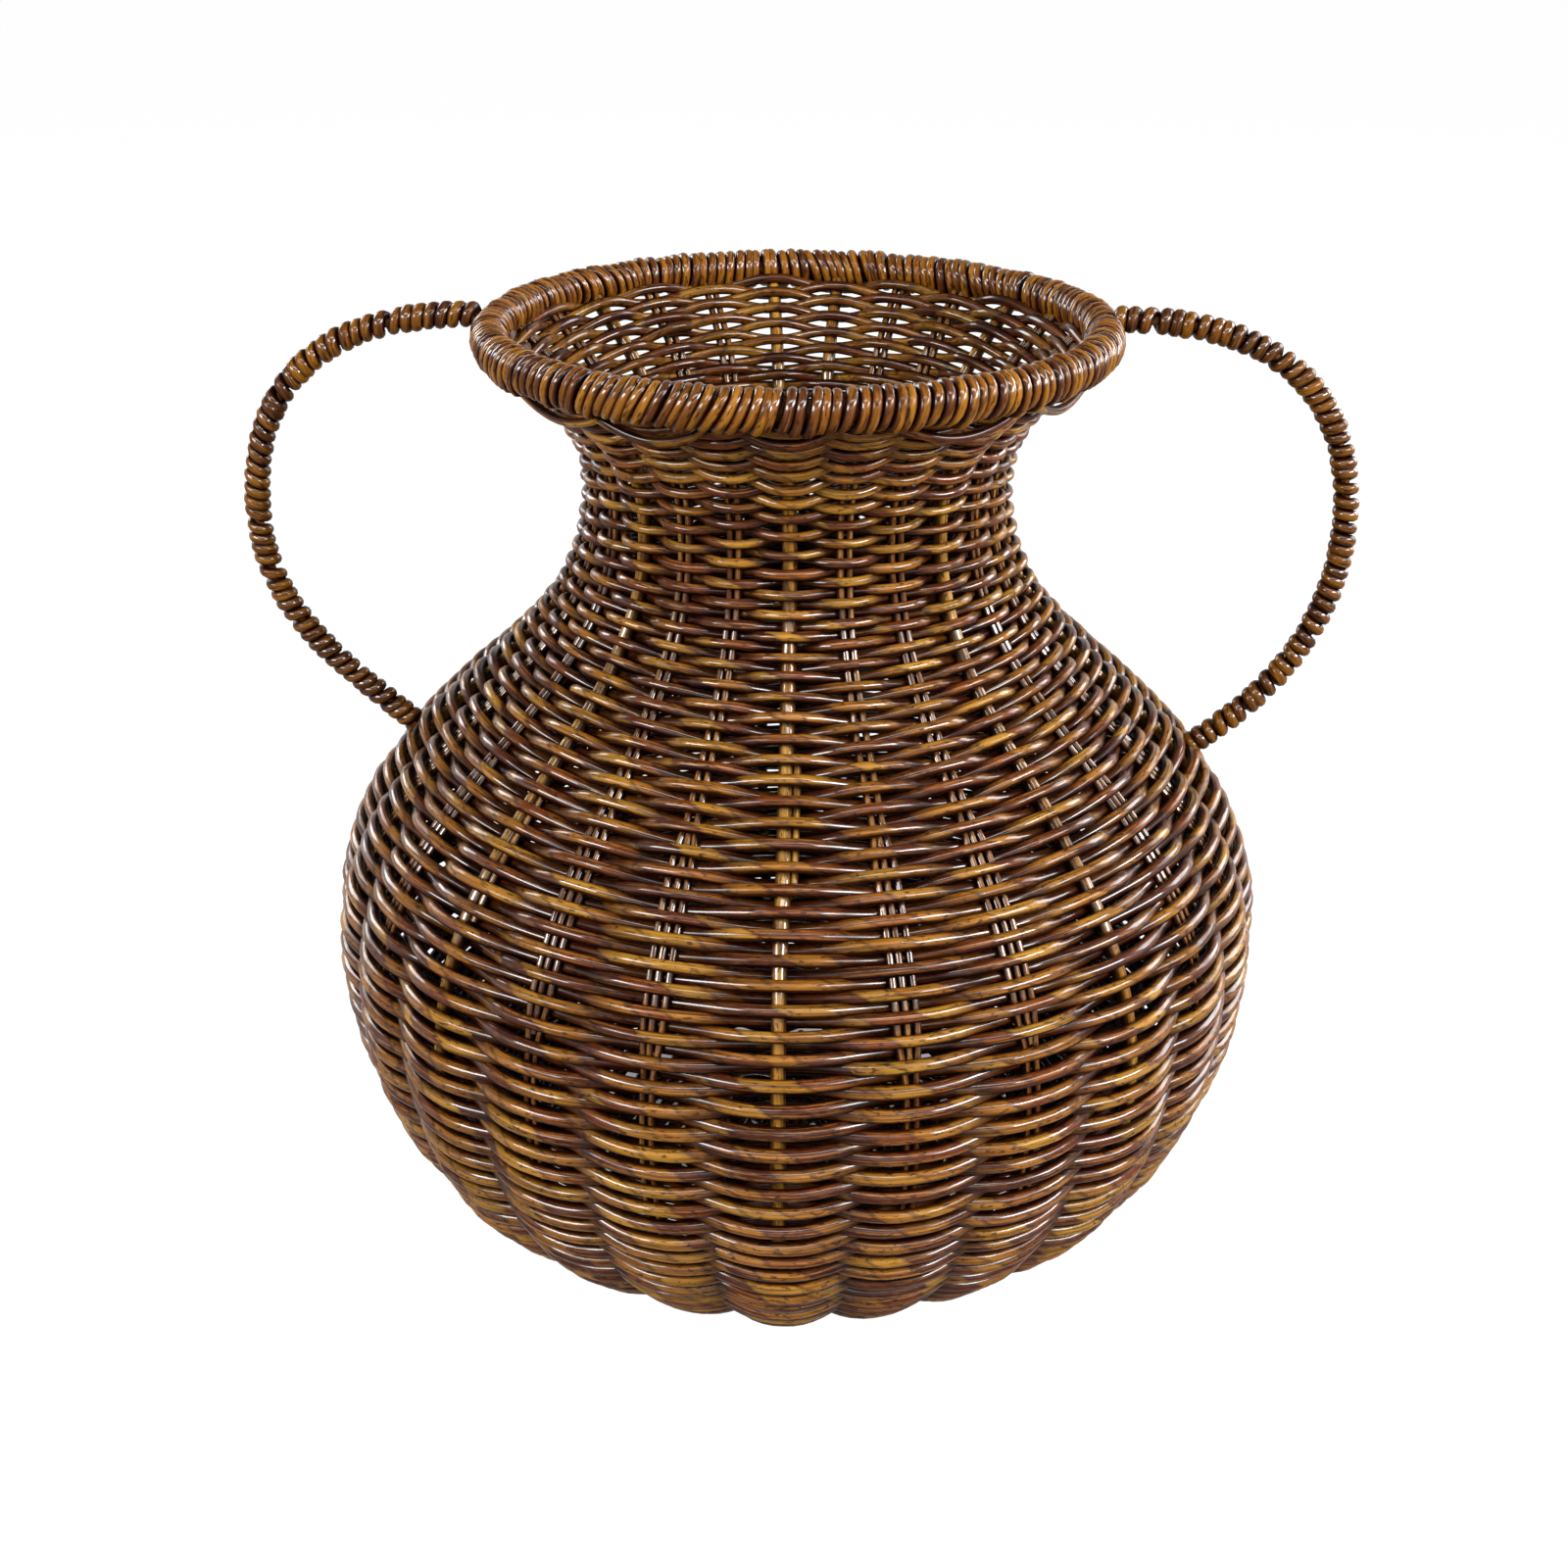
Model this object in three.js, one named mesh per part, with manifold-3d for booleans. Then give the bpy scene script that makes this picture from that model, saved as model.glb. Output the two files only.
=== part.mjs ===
// Woven rattan vase: round belly, narrow neck, flared mouth with a wrapped rim and two wrapped loop handles.
// Millimetres, +Z up. Origin at the centre of the underside, +X through the right handle, front towards -Y.
import * as THREE from "three";
import Module from "manifold-3d";

// Wall line, which is the centre line of the ribs seen in section
const BODY_RADIUS = 160.3;
const BODY_LEVEL = 120;
const BODY_PULL_DOWN = 55;
const BODY_PULL_UP = 83;
const NECK_RADIUS = 68;
const NECK_LEVEL = 282;
const NECK_PULL_DOWN = 71;
const NECK_PULL_UP = 19;
const LIP_ANGLE = THREE.MathUtils.degToRad(43);
const LIP_PULL = 25;
const FOOT_ANGLE = THREE.MathUtils.degToRad(16);
const FOOT_PULL = 45;
const FOOT_STEPS = 5;
const BODY_STEPS = 7;
const LIP_STEPS = 4;

// Ribs: every third one is a single stout rod, the others are thin stakes laid side by side
const RIB_COUNT = 25;
const STOUT_EVERY = 3;
const STOUT_ROD = 4.2;
const THIN_STAKE = 2.2;
const THIN_STAKES_LOW = 3;
const THIN_STAKES_HIGH = 2;

// Weavers: one run of rods, laid in a flat bundle, spirals from the foot to the lip over and under the ribs
const WEAVER_ROD = 3.4;
const RODS_IN_BUNDLE = 3;
const ROW_GAP = 0.7;
const WEAVE_START = 6;
const WEAVE_CLEARANCE = 0.5;
const SPLICE_GAP = 0.6;
const WEAVER_NAMES = [
  "foot_weaver", "lower_belly_weaver", "belly_weaver", "upper_belly_weaver", "lower_shoulder_weaver",
  "shoulder_weaver", "lower_neck_weaver", "neck_weaver", "lip_weaver",
];

// Base: crossed sticks in two layers, two spiral weavers and a flat ring of waling that the vase stands on
const WALE_OUTER_RADIUS = 86;
const WALE_WIDTH = 11;
const WALE_HEIGHT = 8;
const WALE_CHAMFER = 2;
const WALE_STEPS = 50;
const STICK_ROD = 3.4;
const STICKS_IN_LAYER = 3;
const STICK_GAP = 0.3;
const STICK_CROSSING = 2.5;
const STICK_SEAT = 4;
const BASE_WEAVE_START = 20;

// Rim: a round core ring with a wrapping strand wound round it
const RIM_RADIUS = 99.8;
const RIM_LEVEL = 332;
const RIM_CORE = 6.2;
const RIM_STRAND = 2.9;
const RIM_CURLS = 52;
const RIM_CORE_STEPS = 48;

// Handles: a bent core rod from the rim out and down to the shoulder, wound like the rim
const HANDLE_RISE = 4.2;
const HANDLE_OVERHANG = 24.6;
const HANDLE_REACH_LEVEL = 265.6;
const HANDLE_FOOT_LEVEL = 184;
const HANDLE_TOP_PULL = 56;
const HANDLE_REACH_PULL_UP = 42;
const HANDLE_REACH_PULL_DOWN = 33;
const HANDLE_FOOT_PULL = 25;
const HANDLE_FOOT_STRAIGHT = 10;
const HANDLE_WRAP_STOP = 2;
const HANDLE_TUCK = 9;
const HANDLE_CORE = 3;
const HANDLE_STRAND = 2;
const HANDLE_CURLS = 19;
const HANDLE_STEPS = 12;

// Windings and seats
const WRAP_SIDES = 6;
const WRAP_CLEARANCE = 0.5;
const WRAP_GAP = 0.7;
const SEAT_GAP = 0.3;

const HONEY = 0xb9813f;
const TAN = 0xa47139;
const BROWN = 0x6f4526;
const DARK = 0x4b2f22;

const vase = new THREE.Group();
const bay = (2 * Math.PI) / RIB_COUNT;
const waleInnerRadius = WALE_OUTER_RADIUS - WALE_WIDTH;
const bundleHeight = WEAVER_ROD * RODS_IN_BUNDLE;
const faceToCorner = 1 / Math.cos(Math.PI / WRAP_SIDES);

function addPiece(name, geometry, color, roughness) {
  const material = new THREE.MeshStandardMaterial({ color, roughness, metalness: 0 });
  const mesh = new THREE.Mesh(geometry, material);
  mesh.name = name;
  vase.add(mesh);
}

// Point at a radius and height, turned by an azimuth that starts at the front and runs towards +X
function turned(radius, level, azimuth) {
  return new THREE.Vector3(radius * Math.sin(azimuth), -radius * Math.cos(azimuth), level);
}

function signedVolume(rings, index) {
  const points = rings.flat();
  let volume = 0;
  for (let i = 0; i < index.length; i += 3) {
    const [a, b, c] = index.slice(i, i + 3).map((k) => points[k]);
    volume += a.dot(b.clone().cross(c)) / 6;
  }
  return volume;
}

// Closed skin over a row of rings with equal numbers of points, capped at both ends unless it meets itself
function loft(rings, closed = false) {
  const sides = rings[0].length;
  const spans = closed ? rings.length : rings.length - 1;
  const index = [];
  for (let i = 0; i < spans; i += 1) {
    const a = i * sides;
    const b = ((i + 1) % rings.length) * sides;
    for (let k = 0; k < sides; k += 1) {
      const m = (k + 1) % sides;
      index.push(a + k, a + m, b + m, a + k, b + m, b + k);
    }
  }
  const last = (rings.length - 1) * sides;
  for (let k = 1; k < sides - 1 && !closed; k += 1) {
    index.push(0, k + 1, k, last, last + k, last + k + 1);
  }
  if (signedVolume(rings, index) < 0) {
    index.reverse();
  }
  const geometry = new THREE.BufferGeometry();
  const positions = rings.flat().flatMap((point) => point.toArray());
  geometry.setAttribute("position", new THREE.Float32BufferAttribute(positions, 3));
  geometry.setIndex(index);
  return geometry;
}

// Ring of a regular section across a path, with one corner along the side direction
function roundRing(centre, side, up, diameter, sides = WRAP_SIDES) {
  const ring = [];
  for (let k = 0; k < sides; k += 1) {
    const angle = (2 * Math.PI * k) / sides;
    const across = side.clone().multiplyScalar((Math.cos(angle) * diameter) / 2);
    ring.push(centre.clone().add(across).addScaledVector(up, (Math.sin(angle) * diameter) / 2));
  }
  return ring;
}

// Both edges of a band that winds from one end of a length to the other, level at its first and last turns
function bandEdges(turn, from, to, pitch, gap) {
  return [Math.max(from, from + pitch * (turn - 1)), Math.min(to, from + pitch * turn - gap)];
}

// Wall line as a chain of straight steps that ribs and weavers share
const rollCornerRadius = RIM_CORE / 2 + (WRAP_CLEARANCE + RIM_STRAND) * faceToCorner;
const footStart = new THREE.Vector2(
  WALE_OUTER_RADIUS - WALE_CHAMFER,
  WALE_HEIGHT + SEAT_GAP + STOUT_ROD / 2,
);

function wallCurves() {
  const foot = footStart;
  const body = new THREE.Vector2(BODY_RADIUS, BODY_LEVEL);
  const neck = new THREE.Vector2(NECK_RADIUS, NECK_LEVEL);
  const lipWay = new THREE.Vector2(Math.cos(LIP_ANGLE), Math.sin(LIP_ANGLE));
  const footWay = new THREE.Vector2(Math.cos(FOOT_ANGLE), Math.sin(FOOT_ANGLE));
  const lip = new THREE.Vector2(RIM_RADIUS, RIM_LEVEL).addScaledVector(lipWay, -rollCornerRadius - SEAT_GAP);
  const below = (point, pull) => new THREE.Vector2(point.x, point.y - pull);
  const above = (point, pull) => new THREE.Vector2(point.x, point.y + pull);
  const footPull = foot.clone().addScaledVector(footWay, FOOT_PULL);
  const bodyPulls = [below(body, BODY_PULL_DOWN), above(body, BODY_PULL_UP)];
  const neckPulls = [below(neck, NECK_PULL_DOWN), above(neck, NECK_PULL_UP)];
  const lipPull = lip.clone().addScaledVector(lipWay, -LIP_PULL);
  return [
    [new THREE.CubicBezierCurve(foot, footPull, bodyPulls[0], body), FOOT_STEPS],
    [new THREE.CubicBezierCurve(body, bodyPulls[1], neckPulls[0], neck), BODY_STEPS],
    [new THREE.CubicBezierCurve(neck, neckPulls[1], lipPull, lip), LIP_STEPS],
  ];
}

function wallStations() {
  const stations = [];
  for (const [curve, steps] of wallCurves()) {
    for (let i = stations.length ? 1 : 0; i <= steps; i += 1) {
      const tangent = curve.getTangentAt(i / steps);
      const normal = new THREE.Vector2(tangent.y, -tangent.x);
      const point = curve.getPointAt(i / steps);
      const before = stations.at(-1);
      const length = before ? before.length + before.point.distanceTo(point) : 0;
      stations.push({ point, normal, length });
    }
  }
  return stations;
}

const wall = wallStations();
const wallLength = wall.at(-1).length;

// Point, outward normal and upward tangent of the wall line at a length along it
function wallAt(length) {
  const next = wall.findIndex((station) => station.length >= length);
  const upper = wall[next < 1 ? (next < 0 ? wall.length - 1 : 1) : next];
  const lower = wall[wall.indexOf(upper) - 1];
  const share = (length - lower.length) / (upper.length - lower.length);
  const point = lower.point.clone().lerp(upper.point, share);
  const normal = lower.normal.clone().lerp(upper.normal, share).normalize();
  return { point, normal, tangent: new THREE.Vector2(-normal.y, normal.x) };
}

function wallLengthAtLevel(level) {
  const next = wall.findIndex((station) => station.point.y >= level);
  const share = (level - wall[next - 1].point.y) / (wall[next].point.y - wall[next - 1].point.y);
  return THREE.MathUtils.lerp(wall[next - 1].length, wall[next].length, share);
}

// Ribs
function isStout(rib) {
  const fromFront = Math.min(rib, RIB_COUNT - rib);
  return fromFront % STOUT_EVERY === 0;
}

// Section of a rib: full width at half thickness, and the flat that a weaver passes over
function ribSection(rib, level) {
  if (isStout(rib)) {
    const flat = STOUT_ROD / Math.sqrt(3);
    return { thickness: STOUT_ROD, flat, width: 2 * flat };
  }
  const share = THREE.MathUtils.smoothstep(level, BODY_LEVEL, NECK_LEVEL);
  const width = THIN_STAKE * THREE.MathUtils.lerp(THIN_STAKES_LOW, THIN_STAKES_HIGH, share);
  return { thickness: THIN_STAKE, flat: width, width };
}

function ribRing(rib, station) {
  const azimuth = rib * bay;
  const { thickness, flat, width } = ribSection(rib, station.point.y);
  const along = new THREE.Vector3(Math.cos(azimuth), Math.sin(azimuth), 0);
  const corners = [[flat / 2, thickness / 2], [-flat / 2, thickness / 2]];
  if (width > flat) {
    corners.push([-width / 2, 0]);
  }
  corners.push([-flat / 2, -thickness / 2], [flat / 2, -thickness / 2]);
  if (width > flat) {
    corners.push([width / 2, 0]);
  }
  return corners.map(([side, out]) => {
    const place = station.point.clone().addScaledVector(station.normal, out);
    return turned(place.x, place.y, azimuth).addScaledVector(along, side);
  });
}

for (let rib = 0; rib < RIB_COUNT; rib += 1) {
  const name = `rib_${String(rib + 1).padStart(2, "0")}`;
  const geometry = loft(wall.map((station) => ribRing(rib, station)));
  addPiece(name, geometry, isStout(rib) ? HONEY : TAN, 0.45);
}

// Weavers: the bundle stands out over one rib and in behind the next, with one station at each rib
const weaveEnd = wallLength - SEAT_GAP;
const weaveTurns = Math.floor((weaveEnd - WEAVE_START + ROW_GAP) / (bundleHeight + ROW_GAP));
const weavePitch = (weaveEnd - WEAVE_START + ROW_GAP) / weaveTurns;

// Middle and height of the bundle at a crossing, both along the wall line
function weaveBand(crossing) {
  const [lower, upper] = bandEdges(crossing / RIB_COUNT, WEAVE_START, weaveEnd, weavePitch, ROW_GAP);
  return { middle: (lower + upper) / 2, height: upper - lower };
}

function sideOf(crossing) {
  return crossing % 2 === 0 ? 1 : -1;
}

// How far the wall line bends towards a flat bundle within the bundle's height
function bendTowards(side, { middle, height }) {
  const { point, normal } = wallAt(middle);
  const ends = [-1, 1].map((end) => wallAt(middle + (end * height) / 2).point.sub(point));
  return Math.max(0, ...ends.map((end) => side * end.dot(normal)));
}

// How far the bundle's centre lies from the rib's centre, so that it clears the rib's flat as it falls away
function passOffset(crossing) {
  const band = weaveBand(crossing);
  const place = wallAt(band.middle).point;
  const { thickness, flat } = ribSection(crossing % RIB_COUNT, place.y);
  const spacing = bay * place.x;
  const nearest = thickness / 2 + WEAVE_CLEARANCE + WEAVER_ROD / 2 + bendTowards(sideOf(crossing), band);
  return (nearest + (flat / 2) * Math.tan(bay / 2)) / (1 - flat / spacing);
}

function weaverRing(crossing) {
  const { middle, height } = weaveBand(crossing);
  const { point, normal, tangent } = wallAt(middle);
  const offset = sideOf(crossing) * passOffset(crossing);
  const corners = [[1, 1], [1, -1], [-1, -1], [-1, 1]];
  return corners.map(([out, up]) => {
    const place = point.clone().addScaledVector(normal, offset + (out * WEAVER_ROD) / 2);
    place.addScaledVector(tangent, (up * height) / 2);
    return turned(place.x, place.y, crossing * bay);
  });
}

// Ring at a point between two ribs, on the straight run that joins the rings at those ribs
function weaverRunRing(crossing) {
  const rib = Math.floor(crossing);
  const [a, b] = [weaverRing(rib), weaverRing(rib + 1)];
  return a.map((corner, k) => corner.clone().lerp(b[k], crossing - rib));
}

function weaverRings(from, to) {
  const endShare = (crossing) => SPLICE_GAP / 2 / (bay * wallAt(weaveBand(crossing).middle).point.x);
  const rings = [weaverRunRing(from + endShare(from))];
  for (let crossing = Math.ceil(from); crossing <= Math.floor(to); crossing += 1) {
    rings.push(weaverRing(crossing));
  }
  rings.push(weaverRunRing(to - endShare(to)));
  return rings;
}

// Ends of the named strands, each halfway between two ribs, the outermost ones where one rod is left
const oneRodCrossings = Math.ceil((RIB_COUNT * WEAVER_ROD) / weavePitch);

function strandEnd(index) {
  const first = oneRodCrossings;
  const last = (weaveTurns + 1) * RIB_COUNT - oneRodCrossings;
  return Math.floor(THREE.MathUtils.lerp(first, last, index / WEAVER_NAMES.length)) + 0.5;
}

// Handle lines, in the plane of the axis and the handle's azimuth, a quarter of the way round from the front
const handleCrossing = RIB_COUNT / 4;
const wallReach = passOffset(Math.floor(handleCrossing)) + WEAVER_ROD / 2;

// Length along the wall of the middle of the weaver row nearest to the handle's foot
function handleFootLength(crossing) {
  const wanted = (wallLengthAtLevel(HANDLE_FOOT_LEVEL) - WEAVE_START) / weavePitch;
  const turn = Math.round(wanted + 1 / 2 - crossing / RIB_COUNT);
  return weaveBand(crossing + RIB_COUNT * turn).middle;
}

function handleCurves(crossing) {
  const { point: foot, normal } = wallAt(handleFootLength(crossing));
  const topRadius = RIM_RADIUS + Math.sqrt(rollCornerRadius ** 2 - HANDLE_RISE ** 2) + SEAT_GAP;
  const top = new THREE.Vector2(topRadius, RIM_LEVEL + HANDLE_RISE);
  const reach = new THREE.Vector2(BODY_RADIUS + HANDLE_OVERHANG, HANDLE_REACH_LEVEL);
  const entry = foot.clone().addScaledVector(normal, wallReach + HANDLE_FOOT_STRAIGHT);
  const inside = foot.clone().addScaledVector(normal, -HANDLE_TUCK);
  const topPull = new THREE.Vector2(top.x + HANDLE_TOP_PULL, top.y);
  const reachPullUp = new THREE.Vector2(reach.x, reach.y + HANDLE_REACH_PULL_UP);
  const reachPullDown = new THREE.Vector2(reach.x, reach.y - HANDLE_REACH_PULL_DOWN);
  const entryPull = entry.clone().addScaledVector(normal, HANDLE_FOOT_PULL);
  return {
    bend: [
      new THREE.CubicBezierCurve(top, topPull, reachPullUp, reach),
      new THREE.CubicBezierCurve(reach, reachPullDown, entryPull, entry),
    ],
    run: new THREE.LineCurve(entry, inside),
  };
}

// Frame across a handle at a length along its bent part and on along its straight run
function handleFrame(curves, azimuth, length) {
  let curve = curves.bend[0];
  let rest = length;
  for (const next of [curves.bend[1], curves.run]) {
    if (rest <= curve.getLength()) {
      break;
    }
    rest -= curve.getLength();
    curve = next;
  }
  const share = rest / curve.getLength();
  const point = curve.getPointAt(share);
  const tangent = curve.getTangentAt(share);
  return {
    centre: turned(point.x, point.y, azimuth),
    side: new THREE.Vector3(Math.cos(azimuth), Math.sin(azimuth), 0),
    up: turned(tangent.y, -tangent.x, azimuth),
  };
}

function handleCoreRings(curves, azimuth, diameter) {
  const rings = [];
  let before = 0;
  for (const curve of curves.bend) {
    for (let i = 0; i < HANDLE_STEPS; i += 1) {
      const frame = handleFrame(curves, azimuth, before + (curve.getLength() * i) / HANDLE_STEPS);
      rings.push(roundRing(frame.centre, frame.side, frame.up, diameter));
    }
    before += curve.getLength();
  }
  for (const length of [before, before + curves.run.getLength()]) {
    const frame = handleFrame(curves, azimuth, length);
    rings.push(roundRing(frame.centre, frame.side, frame.up, diameter));
  }
  return rings;
}

// Winding: a flat strand wound on a path, whose rings lie along the path's frames and turn with it
function windingRings(frameAt, from, to, curls, coreDiameter, strand) {
  const pitch = (to - from + WRAP_GAP) / curls;
  const first = Math.ceil((WRAP_SIDES * strand) / pitch);
  const inner = coreDiameter / 2 + WRAP_CLEARANCE * faceToCorner;
  const outer = inner + strand * faceToCorner;
  const rings = [];
  for (let step = first; step <= (curls + 1) * WRAP_SIDES - first; step += 1) {
    const angle = (2 * Math.PI * step) / WRAP_SIDES;
    const [start, end] = bandEdges(step / WRAP_SIDES, from, to, pitch, WRAP_GAP);
    const corners = [[inner, start], [outer, start], [outer, end], [inner, end]];
    rings.push(corners.map(([radius, length]) => {
      const { centre, side, up } = frameAt(length);
      const point = centre.clone().addScaledVector(side, radius * Math.cos(angle));
      return point.addScaledVector(up, radius * Math.sin(angle));
    }));
  }
  return rings;
}

// Least distance from a winding's trailing edges to the leading edges of its next curl, measured on points
function windingGap(rings) {
  const samples = 6;
  const edge = (ring, next, corner) => {
    const points = [];
    for (let i = 0; i < samples; i += 1) {
      points.push(ring[corner].clone().lerp(next[corner], i / samples));
    }
    return points;
  };
  let least = Infinity;
  for (let i = 0; i + WRAP_SIDES + 1 < rings.length; i += 1) {
    const lower = [2, 3].flatMap((corner) => edge(rings[i], rings[i + 1], corner));
    for (let j = i + WRAP_SIDES - 1; j <= i + WRAP_SIDES && j + 1 < rings.length; j += 1) {
      const upper = [0, 1].flatMap((corner) => edge(rings[j], rings[j + 1], corner));
      for (const a of lower) {
        least = Math.min(least, ...upper.map((b) => a.distanceTo(b)));
      }
    }
  }
  return least;
}

function addWinding(name, rings, color) {
  console.log(`${name}: least gap between curls ${windingGap(rings).toFixed(2)} mm`);
  addPiece(name, loft(rings), color, 0.4);
}

// Cuts through the weavers where the handle cores pass
const wasm = await Module();
wasm.setup();

function solidOf(geometry) {
  const vertProperties = geometry.getAttribute("position").array;
  const triVerts = new Uint32Array(geometry.getIndex().array);
  return new wasm.Manifold(new wasm.Mesh({ numProp: 3, vertProperties, triVerts }));
}

function geometryOf(solid) {
  const mesh = solid.getMesh();
  const geometry = new THREE.BufferGeometry();
  geometry.setAttribute("position", new THREE.Float32BufferAttribute(mesh.vertProperties, 3));
  geometry.setIndex(Array.from(mesh.triVerts));
  return geometry;
}

const handles = [["right", handleCrossing], ["left", RIB_COUNT - handleCrossing]].map(([side, crossing]) => {
  const curves = handleCurves(crossing);
  return { side, curves, azimuth: crossing * bay };
});
const passages = handles.map(({ curves, azimuth }) => {
  const diameter = HANDLE_CORE + 2 * SEAT_GAP * faceToCorner;
  return solidOf(loft(handleCoreRings(curves, azimuth, diameter)));
});

WEAVER_NAMES.forEach((name, index) => {
  const geometry = loft(weaverRings(strandEnd(index), strandEnd(index + 1)));
  const strand = solidOf(geometry);
  const crossed = passages.filter((passage) => !strand.intersect(passage).isEmpty());
  const opened = crossed.reduce((solid, passage) => solid.subtract(passage), strand);
  addPiece(name, crossed.length ? geometryOf(opened) : geometry, index % 2 ? TAN : BROWN, 0.45);
});

for (const { side, curves, azimuth } of handles) {
  addPiece(`handle_core_${side}`, loft(handleCoreRings(curves, azimuth, HANDLE_CORE)), DARK, 0.6);
  const bendLength = curves.bend[0].getLength() + curves.bend[1].getLength();
  const from = rollCornerRadius - Math.sqrt(rollCornerRadius ** 2 - HANDLE_RISE ** 2);
  const to = bendLength + HANDLE_FOOT_STRAIGHT - HANDLE_WRAP_STOP;
  const frameAt = (length) => handleFrame(curves, azimuth, length);
  const rings = windingRings(frameAt, from, to, HANDLE_CURLS, HANDLE_CORE, HANDLE_STRAND);
  addWinding(`handle_wrap_${side}`, rings, HONEY);
}

// Rim, whose winding starts and ends at the back
function rimFrame(length) {
  const azimuth = Math.PI + length / RIM_RADIUS;
  return {
    centre: turned(RIM_RADIUS, RIM_LEVEL, azimuth),
    side: turned(1, 0, azimuth),
    up: new THREE.Vector3(0, 0, 1),
  };
}

const rimLength = 2 * Math.PI * RIM_RADIUS;
const rimCoreRings = [];
for (let i = 0; i < RIM_CORE_STEPS; i += 1) {
  const { centre, side, up } = rimFrame((rimLength * i) / RIM_CORE_STEPS);
  rimCoreRings.push(roundRing(centre, side, up, RIM_CORE));
}
addPiece("rim_core", loft(rimCoreRings, true), DARK, 0.6);
const rimWrapEnd = rimLength - WRAP_GAP;
addWinding("rim_wrap", windingRings(rimFrame, 0, rimWrapEnd, RIM_CURLS, RIM_CORE, RIM_STRAND), BROWN);

// Base
const stickArms = 4 * STICKS_IN_LAYER;
const armBay = (2 * Math.PI) / stickArms;
const stickPitch = STICK_ROD + STICK_GAP;
const stickReach = waleInnerRadius + STICK_SEAT;
const stickFlat = STICK_ROD / Math.sqrt(3);

function baseOffset(radius) {
  const nearest = STICK_ROD / 2 + WEAVE_CLEARANCE + WEAVER_ROD / 2;
  return nearest / (1 - stickFlat / (armBay * radius));
}

const baseWeaveInner = BASE_WEAVE_START + bundleHeight / 2;
const baseLevel = WALE_HEIGHT + SEAT_GAP + STICK_ROD / 2;

// Stick that runs straight through the crossing in its own layer, then fans out level with the others
function stickRings(layer, place) {
  const fan = place * armBay;
  const crossing = stickPitch * (STICKS_IN_LAYER / 2) + STICK_CROSSING;
  const rise = (layer === 0 ? -1 : 1) * (STICK_ROD + STICK_GAP) / 2;
  const half = [
    new THREE.Vector3(crossing, place * stickPitch, baseLevel + rise),
    new THREE.Vector3(BASE_WEAVE_START * Math.cos(fan), BASE_WEAVE_START * Math.sin(fan), baseLevel),
    new THREE.Vector3(stickReach * Math.cos(fan), stickReach * Math.sin(fan), baseLevel),
  ];
  const mirrored = half.map((point) => new THREE.Vector3(-point.x, point.y, point.z)).reverse();
  const points = [...mirrored, ...half].map((p) => (layer === 0 ? p : new THREE.Vector3(-p.y, p.x, p.z)));
  return points.map((point, i) => {
    const way = points[Math.min(i + 1, points.length - 1)].clone().sub(points[Math.max(i - 1, 0)]);
    const side = new THREE.Vector3(-way.y, way.x, 0).normalize();
    return roundRing(point, side, new THREE.Vector3(0, 0, 1), STICK_ROD);
  });
}

for (let i = 0; i < 2 * STICKS_IN_LAYER; i += 1) {
  const place = (i % STICKS_IN_LAYER) - (STICKS_IN_LAYER - 1) / 2;
  addPiece(`base_stick_${i + 1}`, loft(stickRings(Math.floor(i / STICKS_IN_LAYER), place)), HONEY, 0.5);
}

// Base weavers chase each other outwards, one over the arms that the other goes under
const baseWeaverNames = ["base_weaver_1", "base_weaver_2"];
const basePitch = baseWeaverNames.length * (bundleHeight + ROW_GAP);
const baseWeaveRoom = waleInnerRadius - SEAT_GAP - bundleHeight / 2 - baseWeaveInner;
const baseCrossings = Math.floor((baseWeaveRoom / basePitch) * stickArms);

baseWeaverNames.forEach((name, strand) => {
  const rings = [];
  const firstArm = (strand * stickArms) / baseWeaverNames.length;
  for (let crossing = 0; crossing <= baseCrossings; crossing += 1) {
    const radius = baseWeaveInner + (basePitch * crossing) / stickArms;
    const level = baseLevel + sideOf(crossing + strand) * baseOffset(radius);
    const azimuth = Math.PI / 2 + (firstArm + crossing) * armBay;
    const corners = [[1, 1], [1, -1], [-1, -1], [-1, 1]];
    rings.push(corners.map(([out, up]) => {
      return turned(radius + (out * bundleHeight) / 2, level + (up * WEAVER_ROD) / 2, azimuth);
    }));
  }
  addPiece(name, loft(rings), TAN, 0.5);
});

// Waling ring with a flat underside
const waleProfile = [
  [waleInnerRadius, 0],
  [WALE_OUTER_RADIUS - WALE_CHAMFER, 0],
  [WALE_OUTER_RADIUS, WALE_CHAMFER],
  [WALE_OUTER_RADIUS, WALE_HEIGHT - WALE_CHAMFER],
  [WALE_OUTER_RADIUS - WALE_CHAMFER, WALE_HEIGHT],
  [waleInnerRadius, WALE_HEIGHT],
];
const waleRings = [];
for (let i = 0; i < WALE_STEPS; i += 1) {
  const azimuth = (2 * Math.PI * i) / WALE_STEPS;
  waleRings.push(waleProfile.map(([radius, level]) => turned(radius, level, azimuth)));
}
addPiece("base_wale", loft(waleRings, true), BROWN, 0.5);

export default vase;
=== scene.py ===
"""Woven rattan vase with a wrapped rim and two wrapped loop handles, dressed strand by strand."""
import math
from dataclasses import dataclass

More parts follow.
